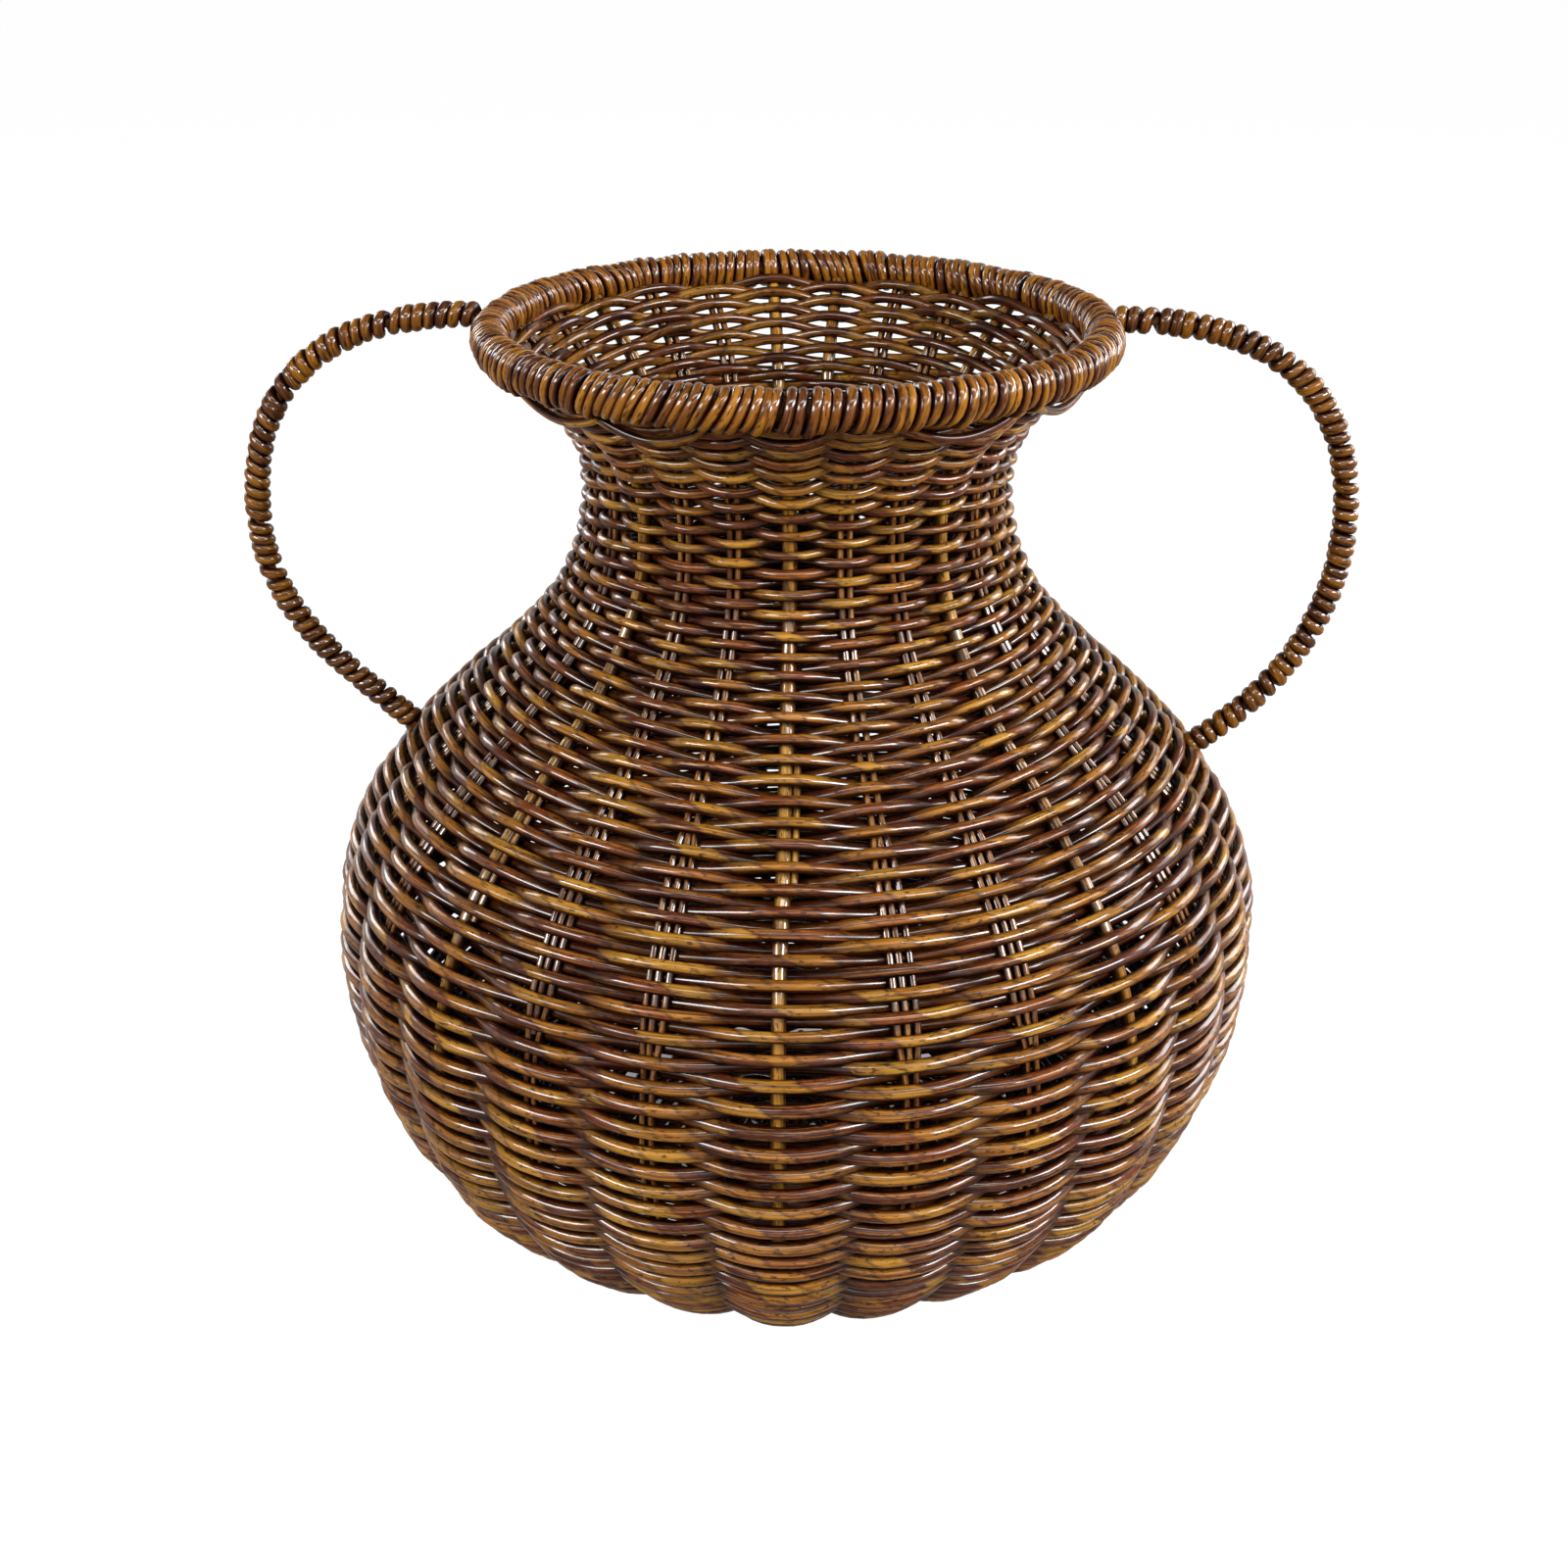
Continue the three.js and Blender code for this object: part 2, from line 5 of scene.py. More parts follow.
import bpy
import numpy as np
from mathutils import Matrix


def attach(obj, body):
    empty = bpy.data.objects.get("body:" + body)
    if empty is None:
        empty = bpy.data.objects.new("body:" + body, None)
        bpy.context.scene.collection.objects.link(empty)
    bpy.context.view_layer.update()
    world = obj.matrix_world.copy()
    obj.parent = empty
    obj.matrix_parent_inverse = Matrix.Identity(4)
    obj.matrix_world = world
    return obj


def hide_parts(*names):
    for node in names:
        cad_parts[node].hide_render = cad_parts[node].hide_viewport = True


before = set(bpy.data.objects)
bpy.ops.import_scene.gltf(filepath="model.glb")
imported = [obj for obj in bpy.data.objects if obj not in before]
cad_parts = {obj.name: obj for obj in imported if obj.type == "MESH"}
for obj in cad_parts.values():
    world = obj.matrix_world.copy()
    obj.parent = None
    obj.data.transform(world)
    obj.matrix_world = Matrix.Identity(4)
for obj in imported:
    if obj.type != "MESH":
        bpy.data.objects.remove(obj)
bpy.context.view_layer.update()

# Sizes in millimetres, the same as the solids', turned to metres where a mesh is made
MM = 0.001
BODY_RADIUS = 160.3
BODY_LEVEL = 120
BODY_PULL_DOWN = 55
BODY_PULL_UP = 83
NECK_RADIUS = 68
NECK_LEVEL = 282
NECK_PULL_DOWN = 71
NECK_PULL_UP = 19
LIP_ANGLE = math.radians(43)
LIP_PULL = 25
FOOT_ANGLE = math.radians(16)
FOOT_PULL = 45
FOOT_RADIUS = 84
FOOT_LEVEL = 10.4
RIM_RADIUS = 99.8
RIM_LEVEL = 332
ROLL_REACH = 7.33

RIB_COUNT = 25
STOUT_EVERY = 3
STOUT_ROD = 4.2
THIN_STAKE = 2.2
BAY = 2 * math.pi / RIB_COUNT

rng = np.random.default_rng(25)

# Random shapes
LATTICE_SIZE = 8192
LATTICE_ROWS = 512


def smooth(share):
    return share * share * (3 - 2 * share)


def ease(share):
    return smooth(np.clip(share, 0, 1))


# Smooth random wander, between -1 and 1, with a lattice point at each whole number
def wander(place, seed):
    lattice = np.random.default_rng(seed).uniform(-1, 1, LATTICE_SIZE)
    place = np.asarray(place, float)
    low = np.floor(place).astype(int)
    share = smooth(place - low)
    return lattice[low % LATTICE_SIZE] * (1 - share) + lattice[(low + 1) % LATTICE_SIZE] * share


# A wander of each strand's own: cells to a unit of length, the shift from strand to strand, and the seed
def strand_wander(place, number, cells, shift, seed):
    return wander(place * cells + number * shift, seed)


# Smooth random lumps over two directions, the first of which closes on itself after a number of cells
def lumps(across, cells, up, seed):
    lattice = np.random.default_rng(seed).uniform(-1, 1, (cells, LATTICE_ROWS))
    column = np.floor(across).astype(int)
    row = np.floor(up).astype(int)
    along_row = smooth(across - column)
    to_next_row = smooth(up - row)

    def in_row(at):
        near = lattice[column % cells, at % LATTICE_ROWS]
        far = lattice[(column + 1) % cells, at % LATTICE_ROWS]
        return near * (1 - along_row) + far * along_row

    return in_row(row) * (1 - to_next_row) + in_row(row + 1) * to_next_row


# Wall line in section, from the foot to the rim
CURVE_STEPS = 400


def bezier(a, b, c, d):
    t = np.linspace(0, 1, CURVE_STEPS + 1)[:, None]
    return (1 - t) ** 3 * a + 3 * (1 - t) ** 2 * t * b + 3 * (1 - t) * t * t * c + t ** 3 * d


def flat(*numbers):
    return np.array(numbers, float)


def wall_line():
    lip_way = flat(math.cos(LIP_ANGLE), math.sin(LIP_ANGLE))
    foot = flat(FOOT_RADIUS, FOOT_LEVEL)
    body = flat(BODY_RADIUS, BODY_LEVEL)
    neck = flat(NECK_RADIUS, NECK_LEVEL)
    lip = flat(RIM_RADIUS, RIM_LEVEL) - ROLL_REACH * lip_way
    foot_pull = foot + FOOT_PULL * flat(math.cos(FOOT_ANGLE), math.sin(FOOT_ANGLE))
    curves = [
        bezier(foot, foot_pull, body - flat(0, BODY_PULL_DOWN), body),
        bezier(body, body + flat(0, BODY_PULL_UP), neck - flat(0, NECK_PULL_DOWN), neck)[1:],
        bezier(neck, neck + flat(0, NECK_PULL_UP), lip - LIP_PULL * lip_way, lip)[1:],
        (lip + ROLL_REACH * lip_way)[None, :],
    ]
    return np.concatenate(curves)


def lengths_of(points):
    steps = np.linalg.norm(np.diff(points, axis=0), axis=1)
    return np.concatenate([[0], np.cumsum(steps)])


wall = wall_line()
wall_lengths = lengths_of(wall)
wall_tangents = np.gradient(wall, wall_lengths, axis=0)


def wall_at(length):
    radius = np.interp(length, wall_lengths, wall[:, 0])
    level = np.interp(length, wall_lengths, wall[:, 1])
    slope = np.interp(length, wall_lengths, wall_tangents[:, 0])
    rise = np.interp(length, wall_lengths, wall_tangents[:, 1])
    reach = np.hypot(slope, rise)
    return radius, level, slope / reach, rise / reach


# Points in section, turned about the vase's axis to an azimuth from the front
def turned(radius, level, azimuth, aside=0):
    x = radius * np.sin(azimuth) + aside * np.cos(azimuth)
    y = -radius * np.cos(azimuth) + aside * np.sin(azimuth)
    return np.stack(np.broadcast_arrays(x, y, level), axis=1).astype(float)


# Points at lengths along the wall, set out from its centre line
def on_wall(length, out, azimuth, aside=0):
    radius, level, slope, rise = wall_at(length)
    return turned(radius + out * rise, level - out * slope, azimuth, aside)


# Directions straight out of the wall at the same places
def out_of_wall(length, azimuth):
    slope, rise = wall_at(length)[2:]
    return turned(rise, -slope, azimuth)


# Strands: rods laid along runs of points and made into one mesh
STRAND_SIDES = 10
SMOOTH_ANGLE = math.radians(50)
# In metres: how far the strands' patterns lie apart, and the level below which the inside is unlit
PATTERN_SHIFT = 7
UNLIT_BELOW = 0.24
UNLIT_FADE = 0.06


@dataclass
class Run:
    """One strand: points and radii in millimetres, how deep it lies from 0 to 1, its own number, and the
    direction out of what it lies on."""
    points: np.ndarray
    radii: np.ndarray
    depth: np.ndarray
    number: float
    outward: np.ndarray


def even_run(points, radius, depth, number, outward):
    count = len(points)
    return Run(points, np.full(count, radius), np.full(count, depth), number, outward)


def strands(name, runs, flatness=1.0):
    bpy.ops.object.select_all(action="DESELECT")
    curve = bpy.data.curves.new(name, "CURVE")
    curve.dimensions = "3D"
    curve.bevel_depth = MM
    curve.bevel_resolution = STRAND_SIDES // 2 - 2
    for run in runs:
        spline = curve.splines.new("POLY")
        spline.points.add(len(run.points) - 1)
        places = np.column_stack([run.points * MM, np.ones(len(run.points))])
        spline.points.foreach_set("co", places.ravel())
        spline.points.foreach_set("radius", run.radii)
    piece = bpy.data.objects.new(name, curve)
    bpy.context.collection.objects.link(piece)
    piece.select_set(True)
    bpy.context.view_layer.objects.active = piece
    bpy.ops.object.convert(target="MESH")
    piece = bpy.context.object
    piece.data.name = name
    bpy.ops.object.mode_set(mode="EDIT")
    bpy.ops.mesh.select_all(action="SELECT")
    bpy.ops.mesh.fill_holes(sides=STRAND_SIDES)
    bpy.ops.object.mode_set(mode="OBJECT")
    if flatness != 1.0:
        flatten(piece.data, runs, flatness)
    mark_strands(piece.data, runs)
    bpy.ops.object.shade_smooth_by_angle(angle=SMOOTH_ANGLE)
    return piece


def mesh_points(mesh):
    places = np.empty(len(mesh.vertices) * 3)
    mesh.vertices.foreach_get("co", places)
    return places.reshape(-1, 3)


def spread_over_sides(runs):
    middles = np.concatenate([run.points for run in runs]) * MM
    outward = np.concatenate([run.outward for run in runs])
    return np.repeat(middles, STRAND_SIDES, axis=0), np.repeat(outward, STRAND_SIDES, axis=0)


# Presses each strand against what it is wound on, so that its section is an oval
def flatten(mesh, runs, flatness):
    places = mesh_points(mesh)
    middles, outward = spread_over_sides(runs)
    rise = ((places - middles) * outward).sum(axis=1, keepdims=True)
    places -= (1 - flatness) * rise * outward
    mesh.vertices.foreach_set("co", places.ravel())


# Writes, at each point of a strand, what its material needs: the place round and along the strand, the
# strand's depth and number, and how far the point faces up, into a groove and into the unlit belly
def mark_strands(mesh, runs):
    angles = 2 * math.pi * np.arange(STRAND_SIDES) / STRAND_SIDES
    place, depth, number = [], [], []
    for run in runs:
        along = lengths_of(run.points) * MM + PATTERN_SHIFT * run.number
        count = len(along)
        place.append(np.column_stack([
            np.tile(np.cos(angles), count),
            np.tile(np.sin(angles), count),
            np.repeat(along, STRAND_SIDES),
        ]))
        depth.append(np.repeat(run.depth, STRAND_SIDES))
        number.append(np.full(count * STRAND_SIDES, run.number))
    place = np.concatenate(place)
    assert len(place) == len(mesh.vertices), (len(place), len(mesh.vertices))
    spots = mesh_points(mesh)
    middles, outward = spread_over_sides(runs)
    spokes = spots - middles
    spokes /= np.linalg.norm(spokes, axis=1, keepdims=True)
    facing = (spokes * outward).sum(axis=1)
    inside = np.clip(-facing, 0, 1) * (1 - ease((spots[:, 2] - UNLIT_BELOW) / UNLIT_FADE))
    write_mark(mesh, "strand_inside", inside)
    write_mark(mesh, "strand_top", spokes[:, 2].copy())
    write_mark(mesh, "strand_side", 1 - np.abs(facing))
    write_mark(mesh, "strand_place", place.ravel(), "FLOAT_VECTOR", "vector")
    write_mark(mesh, "strand_depth", np.concatenate(depth))
    write_mark(mesh, "strand_number", np.concatenate(number))


def write_mark(mesh, name, values, kind="FLOAT", key="value"):
    mesh.attributes.new(name, kind, "POINT").data.foreach_set(key, values)


# Weavers: one spiral of rods, over one rib and under the next, spliced behind ribs
WEAVER_NAMES = (
    "foot_weaver", "lower_belly_weaver", "belly_weaver", "upper_belly_weaver", "lower_shoulder_weaver",
    "shoulder_weaver", "lower_neck_weaver", "neck_weaver", "lip_weaver",
)
WEAVE_START = 4.5
WEAVE_END = 393.6
FOOT_TURN = 27
POINTS_IN_BAY = 10
BEND_FROM = 0.06
RIB_CLEARANCE = 0.05
# At places along the wall, from the foot to the lip: the rows' spacing, how thick the rods are for it,
# and how far they swing out and in
ROW_PLACES = (0, 100, 143, 200, 260, 300, 335, 362, 391)
ROW_SPACINGS = (3.8, 3.75, 3.62, 3.54, 3.44, 3.34, 3.2, 3.12, 3.1)
ROD_TO_ROW = (1.33, 1.33, 1.31, 1.27, 1.21, 1.12, 1.08, 1.12, 1.2)
SWING_SHARES = (0.95, 0.95, 0.93, 0.92, 0.93, 0.95, 0.88, 0.78, 0.74)
ROW_SAMPLES = 4000
# Splices, in bays between ribs: how long a rod is, and how it comes in and stops
SPLICE_LENGTHS = (49, 83)
SPLICE_LEAD = 0.3
SPLICE_TAIL = 0.12
SPLICE_EASE = 0.7
SPLICE_CLEARANCE = 0.1
LAST_ROW_GAP = 0.01
# How uneven the weave is: the pull on the rods, the drift of rows, and each rod's own wander and girth
PULL_CHANGE = 0.12
PULL_TURNS = 8
PULL_CELLS_IN_ROW = 0.9
PULL_SEED = 3
DRIFT_HEIGHT = 0.42
DRIFT_CELLS_IN_BAY = 0.6
DRIFT_CELLS_IN_ROW = 0.18
DRIFT_SEED = 4
WANDER_HEIGHT = 0.32
ROW_WANDER = {"cells": 0.45, "shift": 900, "seed": 5}
GIRTH_CHANGE = 0.05
GIRTH_STEP = 97
GIRTH_WANDER = {"cells": 0.3, "shift": 700, "seed": 6}
# A weaver is slimmer where it is pulled over a rib; its outward way is tilted up, so that its painted
# groove shade falls on its under side and its outer and upper side stay light
CREST_SQUEEZE = 0.11
UPPER_SIDE = (0.0, 0.0, 0.45)
# Light comes in at the open lip, so the rods look less deep there
OPEN_LIP = 335
OPEN_LIP_FADE = 20
OPEN_LIP_SHARE = 0.45


def is_stout(rib):
    rib = np.asarray(rib) % RIB_COUNT
    return np.minimum(rib, RIB_COUNT - rib) % STOUT_EVERY == 0


def pass_height(crossing, rod):
    rib_rod = np.where(is_stout(crossing), STOUT_ROD, THIN_STAKE)
    side = np.where(crossing % 2 == 0, 1, -1)
    return side * ((rib_rod + rod) / 2 + RIB_CLEARANCE)


row_places = np.linspace(WEAVE_START, WEAVE_END, ROW_SAMPLES)
row_steps = np.diff(row_places) / np.interp(row_places[1:], ROW_PLACES, ROW_SPACINGS)
row_numbers = np.concatenate([[0], np.cumsum(row_steps)])
row_count = row_numbers[-1]


def weaver_run(start, end, number):
    """A rod from one splice to the next: it starts behind the last rod's end and stops against a rib."""
    first = max(start - SPLICE_LEAD, -FOOT_TURN)
    last = min(end + SPLICE_TAIL, (row_count - LAST_ROW_GAP) * RIB_COUNT)
    crossing = np.linspace(first, last, int((last - first) * POINTS_IN_BAY))
    azimuth = crossing * BAY
    row = crossing / RIB_COUNT
    length = np.interp(row, row_numbers, row_places) + np.minimum(row, 0) * ROW_SPACINGS[0]
    rod = np.interp(length, ROW_PLACES, ROW_SPACINGS) * np.interp(length, ROW_PLACES, ROD_TO_ROW)
    pull = lumps(crossing, RIB_COUNT * PULL_TURNS, row * PULL_CELLS_IN_ROW, PULL_SEED)
    tension = np.interp(length, ROW_PLACES, SWING_SHARES) + PULL_CHANGE * pull
    rib = np.floor(crossing).astype(int)
    share = np.clip((crossing - rib - BEND_FROM) / (1 - 2 * BEND_FROM), 0, 1)
    swing = (1 - np.cos(math.pi * share)) / 2
    out = (pass_height(rib, rod) * (1 - swing) + pass_height(rib + 1, rod) * swing) * tension
    depth = 0.5 - 0.5 * out / np.abs(pass_height(rib, rod))
    depth *= 1 - OPEN_LIP_SHARE * ease((length - OPEN_LIP) / OPEN_LIP_FADE)
    if start > -FOOT_TURN:
        out -= (rod + SPLICE_CLEARANCE) * (1 - ease((crossing - start) / SPLICE_EASE))
    drift_cells = round(RIB_COUNT * DRIFT_CELLS_IN_BAY)
    drift = lumps(crossing * DRIFT_CELLS_IN_BAY, drift_cells, row * DRIFT_CELLS_IN_ROW, DRIFT_SEED)
    length += DRIFT_HEIGHT * drift
    length += WANDER_HEIGHT * strand_wander(crossing, number, **ROW_WANDER)
    thickness = 1 + GIRTH_CHANGE * math.sin(GIRTH_STEP * number)
    thickness = thickness + GIRTH_CHANGE * strand_wander(crossing, number, **GIRTH_WANDER)
    thickness -= CREST_SQUEEZE * np.clip(1 - 2 * depth, 0, 1) ** 2
    outward = out_of_wall(length, azimuth) + UPPER_SIDE
    outward /= np.linalg.norm(outward, axis=1, keepdims=True)
    points = on_wall(length, out, azimuth)
    return Run(points, rod / 2 * thickness, np.clip(depth, 0, 1), number, outward)


def splice_places():
    places = [-FOOT_TURN, 1]
    end = row_count * RIB_COUNT
    while places[-1] < end - SPLICE_LENGTHS[1]:
        step = rng.integers(*SPLICE_LENGTHS)
        nearest_odd = int((places[-1] + step) // 2) * 2 + 1
        places.append(nearest_odd)
    return places + [end]


def weavers():
    ends = splice_places()
    groups = {name: [] for name in WEAVER_NAMES}
    for start, end in zip(ends, ends[1:]):
        middle = np.interp((start + end) / 2 / RIB_COUNT, row_numbers, row_places)
        name = WEAVER_NAMES[int(middle / wall_lengths[-1] * len(WEAVER_NAMES))]
        groups[name].append(weaver_run(start, end, rng.uniform()))
    groups["lip_weaver"] += [loose_rod(*place) for place in LOOSE_RODS]
    return {name: strands(f"{name}_rods", runs) for name, runs in groups.items()}


# Rods that come out under the rim, droop over the lip and go back in: the bays at both ends, the droop
LOOSE_RODS = (
    (-4.4, -2.3, 7.0),
    (-2.6, -0.9, 7.0),
    (1.4, 3.2, 6.5),
    (3.4, 5.6, 8.0),
    (-8.3, -6.6, 7.0),
    (9.2, 11.0, 7.5),
)
LOOSE_POINTS = 40
LOOSE_RADIUS = 1.5
LOOSE_DEPTH = 0.05
LOOSE_NUMBER = 40
LOOSE_BELOW_RIM = 6.5
LOOSE_DROOP_POWER = 0.8
LOOSE_OUT = 3.2
LOOSE_BULGE = 2.6
LOOSE_TUCK = 3
LOOSE_TUCK_FROM = 0.85


def loose_rod(start, end, droop):
    share = np.linspace(0, 1, LOOSE_POINTS)
    azimuth = (start + (end - start) * share) * BAY
    hump = np.sin(math.pi * share)
    length = wall_lengths[-1] - LOOSE_BELOW_RIM - droop * hump ** LOOSE_DROOP_POWER
    tuck = LOOSE_TUCK * ease((share - LOOSE_TUCK_FROM) / (1 - LOOSE_TUCK_FROM))
    points = on_wall(length, LOOSE_OUT + LOOSE_BULGE * hump - tuck, azimuth)
    outward = out_of_wall(length, azimuth)
    return even_run(points, LOOSE_RADIUS, LOOSE_DEPTH, start + LOOSE_NUMBER, outward)


# Ribs: single stout rods, and groups of two or three thin stakes
RIB_POINTS = 130
RIB_TOP_GAP = 3
RIB_DEPTH = 0.1
RIB_STOUTNESS = 1.12
RIB_GIRTH_CHANGE = 0.05
RIB_GIRTH_WANDER = {"cells": 1 / 25, "shift": 200, "seed": 10}
RIB_SWAY = 0.25
RIB_SWAY_WANDER = {"cells": 1 / 30, "shift": 500, "seed": 8}
RIB_RISE = 0.12
RIB_RISE_WANDER = {"cells": 1 / 14, "shift": 300, "seed": 9}
THREE_STAKES_FROM = 165
THREE_STAKES_TO = 248
THIRD_STAKE_INSET = 6
STAKE_FADE = 18
STAKE_SPREAD = 1.55
# Short stakes pushed in beside some stout ribs: how far aside, and from and to where along the wall
FILLERS = {0: (3.6, 228, 268), 9: (-3.6, 200, 246), 16: (3.6, 205, 250), 22: (3.6, 196, 240)}


def rib_run(rib, aside, rod, start, end, number):
    length = np.linspace(start, end, RIB_POINTS)
    aside = aside + RIB_SWAY * strand_wander(length, number, **RIB_SWAY_WANDER)
    out = RIB_RISE * strand_wander(length, number, **RIB_RISE_WANDER)
    points = on_wall(length, out, rib * BAY, aside)
    girth = RIB_STOUTNESS + RIB_GIRTH_CHANGE * strand_wander(length, number, **RIB_GIRTH_WANDER)
    depth = np.full(RIB_POINTS, RIB_DEPTH)
    return Run(points, rod / 2 * girth, depth, number, out_of_wall(length, rib * BAY))


def rib_piece(rib):
    top = wall_lengths[-1] - RIB_TOP_GAP
    if is_stout(rib):
        runs = [rib_run(rib, 0, STOUT_ROD, 0, top, rng.uniform())]
        if rib in FILLERS:
            aside, start, end = FILLERS[rib]
            runs.append(rib_run(rib, aside, THIN_STAKE, start, end, rng.uniform()))
    else:
        length = np.linspace(0, top, RIB_POINTS)
        opens = ease((length - THREE_STAKES_FROM) / STAKE_FADE)
        closes = ease((THREE_STAKES_TO - length) / STAKE_FADE)
        spread = STAKE_SPREAD * (1 + opens * closes)
        runs = [rib_run(rib, side * spread, THIN_STAKE, 0, top, rng.uniform()) for side in (-1, 1)]
        start = THREE_STAKES_FROM + THIRD_STAKE_INSET
        end = THREE_STAKES_TO - THIRD_STAKE_INSET
        runs.append(rib_run(rib, 0, THIN_STAKE, start, end, rng.uniform()))
    return strands(f"rib_{rib + 1:02d}_rods", runs)


# Windings: a strand wound on a core, given the core's line as centres and two directions across it
WRAP_FLATNESS = 0.95
WRAP_POINTS = 16
WRAP_DEPTH = 0.1
WRAP_HANG_SHARE = 0.2
WRAP_LEAN_PHASE = 0.6
WRAP_LEAN_MEAN = 0.7
WRAP_LEAN_CHANGE = 0.9
WRAP_DRIFT = 0.26
WRAP_GIRTH_CHANGE = 0.1
WRAP_NUMBERS_TO_ONE = 100
# Wanders of a winding, each with its cells in a turn and its seed
LOOSE_TURNS = {"cells": 1.7, "seed": 11}
LEANING_TURNS = {"cells": 0.13, "seed": 12}
DRIFTING_TURNS = {"cells": 0.9, "seed": 13}
UNEVEN_GIRTH = {"cells": 1.3, "seed": 14}
HANGING_TURNS = {"cells": 1, "seed": 15}


def wrap_wander(turn, numbers, cells, seed):
    return wander(turn * cells, numbers + seed)


def winding(line, wraps, reach, half_width, numbers, uneven, droop, lean):
    turn = np.arange(wraps * WRAP_POINTS + 1) / WRAP_POINTS
    angle = 2 * math.pi * turn
    loosest = np.maximum(wrap_wander(turn, numbers, **HANGING_TURNS) + WRAP_HANG_SHARE, 0)
    hang = np.maximum(-np.sin(angle), 0) ** 2 * loosest
    loose = 1 + uneven * wrap_wander(turn, numbers, **LOOSE_TURNS) + droop * hang
    leaning = WRAP_LEAN_MEAN + WRAP_LEAN_CHANGE * wrap_wander(turn, numbers, **LEANING_TURNS)
    shift = lean * np.sin(angle + WRAP_LEAN_PHASE) * leaning
    drift = WRAP_DRIFT * wrap_wander(turn, numbers, **DRIFTING_TURNS)
    centre, side, up = line(np.clip((turn + shift + drift) / wraps, 0, 1))
    across = side * (np.cos(angle) * loose)[:, None]
    upright = up * (np.sin(angle) * loose)[:, None]
    outward = across / np.linalg.norm(side, axis=1)[:, None]
    outward += upright / np.linalg.norm(up, axis=1)[:, None]
    outward /= np.linalg.norm(outward, axis=1)[:, None]
    points = centre + reach[0] * across + reach[1] * upright
    radii = half_width * (1 + WRAP_GIRTH_CHANGE * wrap_wander(turn, numbers, **UNEVEN_GIRTH))
    return Run(points, radii, np.full(len(points), WRAP_DEPTH), numbers / WRAP_NUMBERS_TO_ONE, outward)


RIM_WRAPS = 182
RIM_STRAND_HALF = 1.78
RIM_WRAP_REACH = (4.6, 5.15)
RIM_NUMBERS = 31


def rim_line(share):
    azimuth = math.pi + 2 * math.pi * share
    centre = turned(RIM_RADIUS, RIM_LEVEL, azimuth)
    return centre, turned(1, 0, azimuth), np.tile([0.0, 0.0, 1.0], (len(share), 1))


def rim_wrap():
    run = winding(
        rim_line, RIM_WRAPS, RIM_WRAP_REACH, RIM_STRAND_HALF, RIM_NUMBERS,
        uneven=0.09, droop=0.3, lean=0.65,
    )
    return strands("rim_wrapping", [run], WRAP_FLATNESS)


# Handles: the line of the core, from the rim out and down to the shoulder
HANDLE_RISE = 4.2
HANDLE_OVERHANG = 24.6
HANDLE_REACH_LEVEL = 265.6
HANDLE_TOP_PULL = 56
HANDLE_REACH_PULL_UP = 42
HANDLE_REACH_PULL_DOWN = 33
HANDLE_FOOT_PULL = 25
HANDLE_FOOT_STRAIGHT = 10
HANDLE_WALL_REACH = 6
HANDLE_FOOT_LENGTHS = {"right": 211.8, "left": 217.3}
HANDLE_FOOT_TUCK = 3
HANDLE_TOP_REACH = 5.9
HANDLE_TOP_TUCK = 2.5
HANDLE_AZIMUTHS = {"right": math.pi / 2, "left": -math.pi / 2}
HANDLE_WRAPS = 52
HANDLE_STRAND_HALF = 2.08
HANDLE_WRAP_REACH = (2.5, 2.5)
HANDLE_NUMBERS = {"right": 47, "left": 61}


def handle_points(side):
    foot_length = flat(HANDLE_FOOT_LENGTHS[side])
    foot = on_wall(foot_length, 0, math.pi / 2)[0, [0, 2]]
    outer = on_wall(foot_length, 1, math.pi / 2)[0, [0, 2]]
    normal = outer - foot
    top = flat(RIM_RADIUS + HANDLE_TOP_REACH, RIM_LEVEL + HANDLE_RISE)
    tucked = top - flat(HANDLE_TOP_TUCK, 0)
    reach = flat(BODY_RADIUS + HANDLE_OVERHANG, HANDLE_REACH_LEVEL)
    entry = foot + (HANDLE_WALL_REACH + HANDLE_FOOT_STRAIGHT) * normal
    upper_pull = reach + flat(0, HANDLE_REACH_PULL_UP)
    lower_pull = reach - flat(0, HANDLE_REACH_PULL_DOWN)
    upper = bezier(top, top + flat(HANDLE_TOP_PULL, 0), upper_pull, reach)
    lower = bezier(reach, lower_pull, entry + HANDLE_FOOT_PULL * normal, entry)
    end = foot + (HANDLE_WALL_REACH - HANDLE_FOOT_TUCK) * normal
    return np.concatenate([tucked[None, :], upper, lower[1:], end[None, :]])


def handle_line(side):
    points = handle_points(side)
    lengths = lengths_of(points)
    tangents = np.gradient(points, lengths, axis=0)
    azimuth = HANDLE_AZIMUTHS[side]

    def line(share):
        at = share * lengths[-1]
        radius, level = (np.interp(at, lengths, points[:, k]) for k in (0, 1))
        slope, rise = (np.interp(at, lengths, tangents[:, k]) for k in (0, 1))
        size = np.hypot(slope, rise)
        across = np.tile([math.cos(azimuth), math.sin(azimuth), 0.0], (len(at), 1))
        return turned(radius, level, azimuth), across, turned(rise / size, -slope / size, azimuth)

    return line


def handle_wrap(side):
    run = winding(
        handle_line(side), HANDLE_WRAPS, HANDLE_WRAP_REACH, HANDLE_STRAND_HALF, HANDLE_NUMBERS[side],
        uneven=0.04, droop=0.0, lean=0.15,
    )
    return strands(f"handle_wrapping_{side}", [run], WRAP_FLATNESS)


